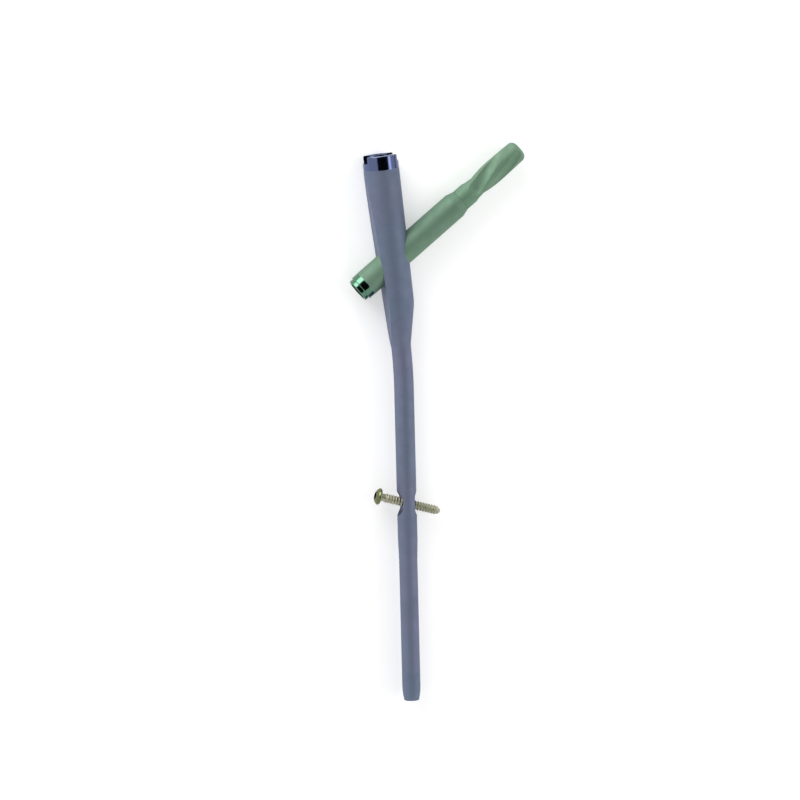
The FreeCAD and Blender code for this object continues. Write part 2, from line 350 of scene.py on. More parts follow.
@dataclass(frozen=True)
class ShapeRule:
    """Geometry Nodes tree that moves each point in or out from the local Z axis.

    Attributes:
        name: The tree's name.
        inputs: Names of the tree's number inputs.
        radius_rule: Adds the nodes that give the new radius. It takes the tree, the named
            sockets, and the point's station, angle and radius.
    """

    name: str
    inputs: tuple[str, ...]
    radius_rule: Callable[..., bpy.types.NodeSocket]

    def tree(self) -> bpy.types.NodeTree:
        """Builds the tree, with the shape in and out and the finish as an input."""
        tree = bpy.data.node_groups.new(self.name, "GeometryNodeTree")
        sockets = tree.interface
        sockets.new_socket("Shape", in_out="OUTPUT", socket_type="NodeSocketGeometry")
        sockets.new_socket("Shape", in_out="INPUT", socket_type="NodeSocketGeometry")
        sockets.new_socket("Finish", in_out="INPUT", socket_type="NodeSocketMaterial")
        for name in self.inputs:
            sockets.new_socket(name, in_out="INPUT", socket_type="NodeSocketFloat")
        group = tree.nodes.new("NodeGroupInput")
        sizes = {name: group.outputs[name] for name in self.inputs}

        place = add_node(tree, "GeometryNodeInputPosition", {})
        split = add_node(tree, "ShaderNodeSeparateXYZ", {}, place).node
        x, y, station = split.outputs
        flat = add_node(tree, "ShaderNodeCombineXYZ", {}, x, y, 0.0)
        radius = add_node(tree, "ShaderNodeVectorMath", {"operation": "LENGTH"}, flat)
        radius = radius.node.outputs["Value"]
        angle = add_node(tree, "ShaderNodeMath", {"operation": "ARCTAN2"}, y, x)
        new_radius = self.radius_rule(tree, sizes, station, angle, radius)
        growth = add_node(tree, "ShaderNodeMath", {"operation": "DIVIDE"}, new_radius, radius)
        new_x = add_node(tree, "ShaderNodeMath", {"operation": "MULTIPLY"}, x, growth)
        new_y = add_node(tree, "ShaderNodeMath", {"operation": "MULTIPLY"}, y, growth)
        moved = add_node(tree, "ShaderNodeCombineXYZ", {}, new_x, new_y, station)

        shape = add_node(tree, "GeometryNodeSetPosition", {}, group.outputs["Shape"], Position=moved)
        shape = add_node(tree, "GeometryNodeRealizeInstances", {}, shape)
        shape = add_node(tree, "GeometryNodeSetMaterial", {}, shape, Material=group.outputs["Finish"])
        add_node(tree, "NodeGroupOutput", {}, shape)
        return tree

    def shape(self, piece: bpy.types.Object, finish: bpy.types.Material, **sizes: float) -> None:
        """Runs the rule on a piece and keeps the result as a plain mesh.

        Args:
            piece: The blank, in its own frame.
            finish: Material of the result.
            sizes: The tree's inputs by name, with _ for a space.
        """
        tree = self.tree()
        modifier = piece.modifiers.new(self.name, "NODES")
        modifier.node_group = tree
        values: dict[str, Any] = {key.replace("_", " "): value for key, value in sizes.items()}
        values["Finish"] = finish
        for item in tree.interface.items_tree:
            if item.in_out == "INPUT" and item.name in values:
                modifier[item.identifier] = values[item.name]
        baked(piece)


def flute_radius(
    tree: bpy.types.NodeTree, sizes: Mapping[str, bpy.types.NodeSocket], station: bpy.types.NodeSocket,
    angle: bpy.types.NodeSocket, radius: bpy.types.NodeSocket,
) -> bpy.types.NodeSocket:
    """Radius of a point once ball-ended helical flutes are milled.

    The cutter starts as a ball at the start station and then winds round the axis, so that
    the angle to the nearest flute gives how deep its circle reaches.

    Args:
        tree: The tree that the nodes go in.
        sizes: Sockets named Flutes, Path radius, Path growth, Cutter radius, Lean, Twist,
            Start, Start angle and Edge round.
        station: The point's station.
        angle: The point's angle.
        radius: The point's radius.

    Returns:
        The new radius.
    """
    beyond = add_node(tree, "ShaderNodeMath", {"operation": "SUBTRACT"}, station, sizes["Start"])
    milled = add_node(tree, "ShaderNodeMath", {"operation": "MAXIMUM"}, beyond, 0.0)
    path = add_node(
        tree, "ShaderNodeMath", {"operation": "MULTIPLY_ADD"}, milled, sizes["Path growth"],
        sizes["Path radius"])
    before = add_node(tree, "ShaderNodeMath", {"operation": "MINIMUM"}, beyond, 0.0)
    wound = add_node(tree, "ShaderNodeMath", {"operation": "MULTIPLY_ADD"}, milled, sizes["Twist"], angle)
    turned = add_node(tree, "ShaderNodeMath", {"operation": "SUBTRACT"}, wound, sizes["Start angle"])
    sector = add_node(tree, "ShaderNodeMath", {"operation": "DIVIDE"}, math.pi, sizes["Flutes"])
    other = add_node(tree, "ShaderNodeMath", {"operation": "MULTIPLY"}, sector, -1.0)
    offset = add_node(tree, "ShaderNodeMath", {"operation": "WRAP"}, turned, sector, other)
    sine = add_node(tree, "ShaderNodeMath", {"operation": "SINE"}, offset)
    cosine = add_node(tree, "ShaderNodeMath", {"operation": "COSINE"}, offset)
    ahead = add_node(tree, "ShaderNodeMath", {"operation": "MULTIPLY"}, cosine, path)
    aside = add_node(tree, "ShaderNodeMath", {"operation": "MULTIPLY"}, sine, path)
    aside = add_node(tree, "ShaderNodeMath", {"operation": "MULTIPLY"}, aside, sizes["Lean"])
    reach = add_node(tree, "ShaderNodeMath", {"operation": "POWER"}, sizes["Cutter radius"], 2.0)
    for length in (before, aside):
        square = add_node(tree, "ShaderNodeMath", {"operation": "MULTIPLY"}, length, length)
        reach = add_node(tree, "ShaderNodeMath", {"operation": "SUBTRACT"}, reach, square)
    inside = add_node(tree, "ShaderNodeMath", {"operation": "MAXIMUM"}, reach, 0.0)
    depth = add_node(tree, "ShaderNodeMath", {"operation": "SQRT"}, inside)
    floor = add_node(tree, "ShaderNodeMath", {"operation": "SUBTRACT"}, ahead, depth)

    # A point that the cutter misses gets a floor a metre further out, and so keeps its radius.
    missed = add_node(tree, "ShaderNodeMath", {"operation": "LESS_THAN"}, reach, 0.0)
    floor = add_node(tree, "ShaderNodeMath", {"operation": "ADD"}, floor, missed)
    return add_node(
        tree, "ShaderNodeMath", {"operation": "SMOOTH_MIN"}, radius, floor, sizes["Edge round"])


def thread_radius(
    tree: bpy.types.NodeTree, sizes: Mapping[str, bpy.types.NodeSocket], station: bpy.types.NodeSocket,
    angle: bpy.types.NodeSocket, radius: bpy.types.NodeSocket,
) -> bpy.types.NodeSocket:
    """Radius of a point once a right-hand thread is cut.

    The share of a turn since the last crest gives the thread's profile, a flat crest with
    two straight flanks down to a flat root.

    Args:
        tree: The tree that the nodes go in.
        sizes: Sockets named Pitch, Depth, Crest share, Root share, Start, End, Run out and
            Least radius.
        station: The point's station.
        angle: The point's angle.
        radius: The point's radius.

    Returns:
        The new radius.
    """
    turns = add_node(tree, "ShaderNodeMath", {"operation": "DIVIDE"}, station, sizes["Pitch"])
    wound = add_node(tree, "ShaderNodeMath", {"operation": "MULTIPLY_ADD"}, angle, -0.5 / math.pi, turns)
    share = add_node(tree, "ShaderNodeMath", {"operation": "WRAP"}, wound, 1.0, 0.0)
    middle = add_node(tree, "ShaderNodeMath", {"operation": "SUBTRACT"}, share, 0.5)
    from_crest = add_node(tree, "ShaderNodeMath", {"operation": "ABSOLUTE"}, middle)
    half_crest = add_node(tree, "ShaderNodeMath", {"operation": "MULTIPLY"}, sizes["Crest share"], 0.5)
    half_flanks = add_node(
        tree, "ShaderNodeMath", {"operation": "MULTIPLY_ADD"}, sizes["Root share"], -0.5, 0.5)
    groove = add_node(tree, "ShaderNodeMapRange", {}, from_crest, half_crest, half_flanks, 0.0, 1.0)
    start_end = add_node(tree, "ShaderNodeMath", {"operation": "ADD"}, sizes["Start"], sizes["Run out"])
    end_start = add_node(tree, "ShaderNodeMath", {"operation": "SUBTRACT"}, sizes["End"], sizes["Run out"])
    fade_in = add_node(tree, "ShaderNodeMapRange", {}, station, sizes["Start"], start_end, 0.0, 1.0)
    fade_out = add_node(tree, "ShaderNodeMapRange", {}, station, end_start, sizes["End"], 1.0, 0.0)
    outside = add_node(tree, "ShaderNodeMath", {"operation": "GREATER_THAN"}, radius, sizes["Least radius"])
    cut_depth = sizes["Depth"]
    for part in (groove, fade_in, fade_out, outside):
        cut_depth = add_node(tree, "ShaderNodeMath", {"operation": "MULTIPLY"}, cut_depth, part)
    return add_node(tree, "ShaderNodeMath", {"operation": "SUBTRACT"}, radius, cut_depth)


# The ball's path is a helix on a cone, so the flutes grow shallower towards the tip.
MILL_FLUTES = ShapeRule(
    "mill flutes",
    ("Flutes", "Path radius", "Path growth", "Cutter radius", "Lean", "Twist", "Start", "Start angle",
     "Edge round"),
    flute_radius,
)
CUT_THREAD = ShapeRule(
    "cut thread",
    ("Pitch", "Depth", "Crest share", "Root share", "Start", "End", "Run out", "Least radius"),
    thread_radius,
)


# Finishes

WHITE = (1.0, 1.0, 1.0, 1.0)
# Blender's wave texture multiplies its coordinate by this.
WAVE_FACTOR = 20.0
# Spread of a noise texture's values that a finish uses.
FILM_NOISE = (0.35, 0.65)
SMEAR_NOISE = (0.3, 0.7)
# How far the turning marks waver.
MARK_WAVER = 1.5
# Cosine between the softened and the true normal, on a plain face and on a sharp edge.
PLAIN_FACING, EDGE_FACING = 0.995, 0.86
# Share of the edge colour on a sharp edge.
EDGE_RUB = 0.55


def linear(colour: str) -> tuple[float, float, float, float]:
    """Linear colour of an sRGB hex value such as 5A6B8C."""
    channels = [int(colour[index:index + 2], 16) / 255 for index in (0, 2, 4)]
    lit = [c / 12.92 if c <= 0.04045 else ((c + 0.055) / 1.055) ** 2.4 for c in channels]
    return (lit[0], lit[1], lit[2], 1.0)


def bare_material(name: str) -> bpy.types.Material:
    """New material with an empty node tree."""
    material = bpy.data.materials.new(name)
    material.use_nodes = True
    material.node_tree.nodes.clear()
    return material


@dataclass(frozen=True)
class Polish:
    """Polished end of a piece that is matt elsewhere.

    Attributes:
        end: Station where the polish ends, in millimetres. It starts at the piece's own end.
        colour: Colour of the polished metal.
        roughness: Its mean roughness.
        blend: Length over which it gives way to the matt surface, in millimetres.
    """

    end: float
    colour: str
    roughness: float
    blend: float = 0.4


@dataclass(frozen=True)
class TurnedMetal:
    """Turned metal, plain or with an anodised colour.

    Attributes:
        name: The metal's common name and how its surface was made.
        colour: Colour of most of the surface.
        drift: Colour that the oxide film drifts to over tens of millimetres.
        edge: Colour where edges are rubbed.
        roughness: Mean roughness.
        roughness_spread: How far the roughness varies each way.
        feed: Spacing of the turning marks, in millimetres.
        mark_depth: Height of the turning marks, in millimetres.
        grain: Size of the blasted grain, in millimetres.
        grain_depth: Height of the grain, in millimetres.
        drift_size: Size of the colour's drift, in millimetres.
        smear_size: Size of the roughness's smears, in millimetres.
        edge_width: Width of the rubbed edges, in millimetres.
        polish: Polished end, if the piece has one.
    """

    name: str
    colour: str
    drift: str
    edge: str
    roughness: float
    roughness_spread: float = 0.04
    feed: float = 0.45
    mark_depth: float = 0.0012
    grain: float = 0.25
    grain_depth: float = 0.0008
    drift_size: float = 26.0
    smear_size: float = 5.5556
    edge_width: float = 0.2
    polish: Polish | None = None

    def material(self, place: Matrix) -> bpy.types.Material:
        """Builds the material for a piece that lies in a given frame.

        Args:
            place: The piece's frame, whose Z axis is the lathe's axis.

        Returns:
            The material.
        """
        material = bare_material(self.name)
        tree = material.node_tree
        turn = place.inverted()
        coordinates = tree.nodes.new("ShaderNodeTexCoord").outputs["Object"]
        local = add_node(
            tree, "ShaderNodeMapping", {}, coordinates, turn.translation, turn.to_euler())
        normal = tree.nodes.new("ShaderNodeNewGeometry").outputs["Normal"]

        # The oxide film's thickness drifts a little from end to end, and its colour with it.
        film = add_node(
            tree, "ShaderNodeTexNoise", {}, local, Scale=1 / (self.drift_size * MM), Detail=1.0)
        drifted = add_node(tree, "ShaderNodeMapRange", {}, film, *FILM_NOISE, 0.0, 1.0)
        body = add_node(tree, "ShaderNodeMix", {"data_type": "RGBA"}, drifted).node
        colours = [socket for socket in body.inputs if socket.type == "RGBA"]
        colours[0].default_value = linear(self.colour)
        colours[1].default_value = linear(self.drift)
        body_colour = next(socket for socket in body.outputs if socket.type == "RGBA")

        # Handling leaves smears that are a little glossier or duller than the rest.
        smear = add_node(
            tree, "ShaderNodeTexNoise", {}, local, Scale=1 / (self.smear_size * MM), Detail=2.0)
        roughness = add_node(
            tree, "ShaderNodeMapRange", {}, smear, *SMEAR_NOISE,
            self.roughness - self.roughness_spread, self.roughness + self.roughness_spread)

        if self.polish:
            station = add_node(tree, "ShaderNodeSeparateXYZ", {}, local).node.outputs["Z"]
            border, start = self.polish.end * MM, (self.polish.end - self.polish.blend) * MM
            bright = add_node(tree, "ShaderNodeMapRange", {}, station, start, border, 1.0, 0.0)
            body = add_node(tree, "ShaderNodeMix", {"data_type": "RGBA"}, bright).node
            colours = [socket for socket in body.inputs if socket.type == "RGBA"]
            tree.links.new(body_colour, colours[0])
            colours[1].default_value = linear(self.polish.colour)
            body_colour = next(socket for socket in body.outputs if socket.type == "RGBA")
            roughness = add_node(
                tree, "ShaderNodeMix", {}, bright, None, roughness, self.polish.roughness)

        # Handling rubs the film thin on the edges.
        soft = add_node(tree, "ShaderNodeBevel", {"samples": 4}, self.edge_width * MM)
        facing = add_node(tree, "ShaderNodeVectorMath", {"operation": "DOT_PRODUCT"}, soft, normal)
        facing = facing.node.outputs["Value"]
        rubbed = add_node(
            tree, "ShaderNodeMapRange", {}, facing, PLAIN_FACING, EDGE_FACING, 0.0, EDGE_RUB)
        mixed = add_node(tree, "ShaderNodeMix", {"data_type": "RGBA"}, rubbed).node
        colours = [socket for socket in mixed.inputs if socket.type == "RGBA"]
        tree.links.new(body_colour, colours[0])
        colours[1].default_value = linear(self.edge)
        colour = next(socket for socket in mixed.outputs if socket.type == "RGBA")

        # Turning marks run round the piece. Real ones are finer than the render can show.
        wave_scale = 2 * math.pi / (WAVE_FACTOR * self.feed * MM)
        marks = add_node(
            tree, "ShaderNodeTexWave", {"wave_type": "BANDS", "bands_direction": "Z"}, local,
            Scale=wave_scale, Distortion=MARK_WAVER, Detail=1.0)
        marks = marks.node.outputs["Fac"]
        grain = add_node(
            tree, "ShaderNodeTexNoise", {}, local, Scale=1 / (self.grain * MM), Detail=2.0)
        grain = add_node(
            tree, "ShaderNodeMath", {"operation": "MULTIPLY"}, grain, self.grain_depth / self.mark_depth)
        height = add_node(tree, "ShaderNodeMath", {"operation": "ADD"}, marks, grain)
        relief = add_node(
            tree, "ShaderNodeBump", {}, Strength=1.0, Distance=self.mark_depth * MM, Height=height)

        surface = add_node(
            tree, "ShaderNodeBsdfPrincipled", {}, Base_Color=colour, Metallic=1.0, Roughness=roughness,
            Normal=relief)
        add_node(tree, "ShaderNodeOutputMaterial", {}, surface)
        return material


# Anodised titanium: a clear oxide film gives a metal colour that drifts with its thickness.
# It is blasted matt, apart from the ends that instruments seat on.
SLATE_ANODISED = TurnedMetal(
    "anodised_titanium_slate_blue", "79859A", "80849B", "A6ADC0", 0.7, mark_depth=0.0006,
    polish=Polish(6.3, "5A6487", 0.14))
SAGE_ANODISED = TurnedMetal(
    "anodised_titanium_green", "7A9883", "829D8A", "A8C0B0", 0.7, mark_depth=0.0006,
    polish=Polish(-14.7, "5B826E", 0.14))
BLADE_ANODISED = TurnedMetal(
    "anodised_titanium_green_blade", "7A9A83", "90AA94", "ACC6B6", 0.7, mark_depth=0.0006)
OLIVE_ANODISED = TurnedMetal(
    "anodised_titanium_olive", "A3A38C", "A9A995", "C2C2A6", 0.45, feed=0.3, mark_depth=0.0004,
    grain_depth=0.0003, polish=Polish(-12.1, "6C704E", 0.22))
# Bare titanium, turned: a warm grey that is duller than steel.
PLAIN_TITANIUM = TurnedMetal("turned_titanium_bare", "A7A29B", "ADA89F", "C9C5BE", 0.3)
# Hard spring steel, ground and bright.
SPRING_STEEL = TurnedMetal("ground_spring_steel", "B4B5B8", "BABABC", "D2D2D4", 0.22, feed=0.2)


# The object


@dataclass(frozen=True)
class Layout:
    """Places of the pieces in the row frame.

    Attributes:
        joints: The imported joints.
    """

    joints: Sequence[Mapping[str, Any]]

    def blade(self) -> Matrix:
        """Frame on the blade's axis, with its origin where the nail's top axis crosses it."""
        spin = next(joint for joint in self.joints if joint["name"] == "blade_spin")
        along = Vector(spin["axis"]).normalized()
        return frame_matrix(Vector(spin["pos_m"]), along, UP.cross(along))

    def top(self, rim: float) -> Matrix:
        """Frame at the nail's rim, with local Z down its top axis and local X medial."""
        medial, down = Vector((1.0, 0.0, 0.0)), Vector((0.0, -1.0, 0.0))
        return frame_matrix(Vector((0.0, rim * MM, 0.0)), down, medial)


@dataclass
class Nail:
    """The nail: bent turned body, lateral flat, bores, rim notches and distal slot.

    The sizes are in millimetres, as named.
    """

    layout: Layout
    length: float = 240.0
    top_dia: float = 15.6
    top_length: float = 65.7
    cone_length: float = 18.1
    shaft_dia: float = 8.6
    bend_angle: float = 5.0
    bend_length: float = 20.0
    relief_start: float = 169.0
    relief_length: float = 9.0
    relief_dia: float = 8.0
    nose_length: float = 6.5
    nose_bulge_dia: float = 7.5
    nose_bulge_from_end: float = 3.0
    nose_dia: float = 6.6
    nose_round: float = 0.4
    rim_chamfer: float = 0.5
    cone_round: float = 25.0
    cone_foot_round: float = 8.0
    flat_start: float = 7.0
    flat_wedge_end: float = 66.0
    flat_end_gap: float = 0.1
    notch_width: float = 8.5
    notch_depth: float = 3.0
    socket_dia: float = 11.0
    socket_depth: float = 17.0
    socket_chamfer: float = 0.6
    socket_relief_dia: float = 11.8
    socket_relief_length: float = 1.5
    socket_floor_cone: float = 3.0
    cannulation_dia: float = 4.4
    cannulation_chamfer: float = 0.3
    slot_station: float = 153.05
    slot_width: float = 4.9
    slot_height: float = 9.6
    lateral_mouth_width: float = 7.2
    medial_mouth_width: float = 6.1
    mouth_height: float = 11.0
    mouth_floor_from_axis: float = 2.3
    mouth_taper_length: float = 1.2
    blade_bore_dia: float = 11.85
    edge_break: float = 0.16
    edge_break_steps: int = 2
    outside_segments: int = 144
    wire_bore_segments: int = 72
    blade_bore_segments: int = 128
    corner_steps: int = 8
    nose_steps: int = 12
    nose_round_steps: int = 5
    slot_end_steps: int = 24
    ring_spacing: float = 1.5
    flat_edge_slope: float = 0.25

    @property
    def cone_end(self) -> float:
        """Station where the cone meets the shaft and the bend starts."""
        return self.top_length + self.cone_length

    def on_centre_line(self, point: Vector) -> Vector:
        """Place in the row frame of a point built beside a straight centre line.

        Args:
            point: The point, with its station from the rim as Z, in metres.

        Returns:
            The point with the nail's bend, in metres.
        """
        bend_radius = self.bend_length * MM / math.radians(self.bend_angle)
        start = self.cone_end * MM
        past_start = max(point.z - start, 0.0)
        in_bend = min(past_start, self.bend_length * MM)
        angle = in_bend / bend_radius
        along = Vector((-math.sin(angle), -math.cos(angle), 0.0))
        medial = Vector((math.cos(angle), -math.sin(angle), 0.0))
        rim = self.notch_depth * MM
        on_line = Vector((
            bend_radius * (math.cos(angle) - 1), rim - start - bend_radius * math.sin(angle), 0.0))
        straight = past_start - in_bend if past_start > 0 else point.z - start
        return on_line + along * straight + medial * point.x + UP * point.y

    def bend(self, piece: bpy.types.Object) -> bpy.types.Object:
        """Bends a straight piece along the centre line and returns it."""
        for vertex in piece.data.vertices:
            vertex.co = self.on_centre_line(vertex.co.copy())
        return piece

    def blank(self) -> bpy.types.Object:
        """Solid outside of the nail."""
        top, shaft, relief = self.top_dia / 2, self.shaft_dia / 2, self.relief_dia / 2
        nose = self.nose_dia / 2
        nose_start = (self.length - self.nose_length, relief)
        round_start = (self.length - self.nose_round, nose)
        bulge = (self.length - self.nose_bulge_from_end, self.nose_bulge_dia / 2)
        corners = [
            (0.0, 0.0), (0.0, top, self.rim_chamfer), (self.top_length, top, self.cone_round),
            (self.cone_end, shaft, self.cone_foot_round), (self.relief_start, shaft, self.cone_round),
            (self.relief_start + self.relief_length, relief, self.cone_round), nose_start]
        outline = rounded(corners, False, self.corner_steps)
        outline += three_point_arc(nose_start, bulge, round_start, self.nose_steps)
        end = (self.length, nose - self.nose_round)
        inset = QUARTER_ROUND_SHARE * self.nose_round
        shoulder = (self.length - inset, nose - inset)
        outline += three_point_arc(round_start, shoulder, end, self.nose_round_steps)
        outline.append((self.length, 0.0))
        outline = divided(outline, self.ring_spacing, 0.0, self.length, False)
        return self.bend(revolved("nail_body", outline, False, self.outside_segments))

    def bore(self) -> bpy.types.Object:
        """Handle socket with its relief groove, and the bore for the guide wire, as one cutter."""
        socket, relief, wire = self.socket_dia / 2, self.socket_relief_dia / 2, self.cannulation_dia / 2
        socket_end = self.notch_depth + self.socket_depth
        floor = socket_end + self.socket_relief_length
        nose_edge, beyond = self.length - self.cannulation_chamfer, self.length + CUTTER_REACH
        mouth = socket + self.socket_chamfer
        corners = [
            (-CUTTER_REACH, 0.0), (-CUTTER_REACH, mouth + CUTTER_REACH), (0.0, mouth),
            (self.socket_chamfer, socket), (socket_end, socket), (socket_end, relief), (floor, relief),
            (floor + self.socket_floor_cone, wire), (nose_edge, wire),
            (beyond, wire + self.cannulation_chamfer + CUTTER_REACH), (beyond, 0.0)]
        outline = divided(corners, self.ring_spacing, floor, self.length, False)
        return self.bend(revolved("bore", outline, False, self.wire_bore_segments))

    def lateral_flat(self) -> bpy.types.Object:
        """Cutter for the flat on the lateral side: a long wedge and then a level part."""
        half, rim = self.top_dia / 2, self.notch_depth
        start, wedge_end, end = rim - self.flat_start, rim - self.flat_wedge_end, rim - self.cone_end
        level, beyond = -self.shaft_dia / 2 - self.flat_end_gap, -self.top_dia
        corners = [(-half, start), (level, wedge_end), (level, end), (beyond, end), (beyond, start)]
        return prism("flat", [[Vector((x, y, z)) for x, y in corners] for z in (-half, half)])

    def notches(self) -> bpy.types.Object:
        """Block that cuts the two notches in the rim."""
        reach, half = self.top_dia, self.notch_width / 2
        corners = ((0, -half), (0, half), (reach, half), (reach, -half))
        return prism("notches", [[Vector((x, y, z)) for y, z in corners] for x in (-reach, reach)])

    def obround(self, width: float, height: float, from_axis: float) -> list[Vector]:
        """Section of the distal slot at a distance from the shaft's axis, in the row frame."""
        radius = width / 2
        straight = height / 2 - radius
        section = []
        for end in (1, -1):
            for step in range(self.slot_end_steps + 1):
                angle = math.pi * step / self.slot_end_steps
                across, up = end * radius * math.cos(angle), end * (straight + radius * math.sin(angle))
                local = Vector((from_axis, across, self.slot_station + up))
                section.append(self.on_centre_line(local * MM) / MM)
        return section

    def slot(self) -> bpy.types.Object:
        """Distal slot with its two mouths, as one cutter from the lateral side to the medial."""
        floor = self.mouth_floor_from_axis
        throat = floor - self.mouth_taper_length
        widths = {Side.LATERAL: self.lateral_mouth_width, Side.MEDIAL: self.medial_mouth_width}
        sections = []
        for side, width in widths.items():
            outer, inner = (
                self.obround(width, self.mouth_height, side.value * place)
                for place in (self.shaft_dia, floor))
            narrow = self.obround(self.slot_width, self.slot_height, side.value * throat)
            inwards = [outer, inner, narrow]
            sections += inwards if side is Side.LATERAL else reversed(inwards)
        return prism("slot", sections)

    def blade_bore(self) -> bpy.types.Object:
        """Oblique bore that the sleeve slides in, as a cutter."""
        reach, radius = 2 * self.top_dia, self.blade_bore_dia / 2
        outline = [(-reach, 0.0), (-reach, radius), (reach, radius), (reach, 0.0)]
        cutter = revolved("blade_bore", outline, False, self.blade_bore_segments)
        cutter.data.transform(self.layout.blade())
        return cutter

    def mark_edges(self, piece: bpy.types.Object) -> None:
        """Marks the edges to break: all the sharp ones but the two long ones of the flat."""
        mesh = bmesh.new()
        mesh.from_mesh(piece.data)
        weight = mesh.edges.layers.float.new("bevel_weight_edge")
        for edge in mesh.edges:
            turn = edge.calc_face_angle(0.0)
            slope = max((abs(face.normal.y) for face in edge.link_faces), default=0.0)
            if turn > BLUNT_ANGLE or (turn > SHARP_ANGLE and slope > self.flat_edge_slope):
                edge[weight] = 1.0
        mesh.to_mesh(piece.data)
        mesh.free()

    def build(self) -> bpy.types.Object:
        """Builds the nail's piece, with its edges broken.

        Returns:
            The piece, riding on its body.
        """
        piece = self.blank()
        cut(piece, [
            self.lateral_flat(), self.bore(), self.notches(), self.slot(), self.blade_bore()])
        self.mark_edges(piece)
        edges = piece.modifiers.new("broken edges", "BEVEL")
        edges.width = self.edge_break * MM
        edges.segments = self.edge_break_steps
        edges.limit_method = "WEIGHT"
        baked(piece)
        smoothed(piece)
        piece.modifiers.new("even shading", "WEIGHTED_NORMAL").keep_sharp = True
        baked(piece)
        piece.data.materials.clear()
        piece.data.materials.append(SLATE_ANODISED.material(self.layout.top(self.notch_depth)))
        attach(piece, "nail")
        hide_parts("nail")
        return piece


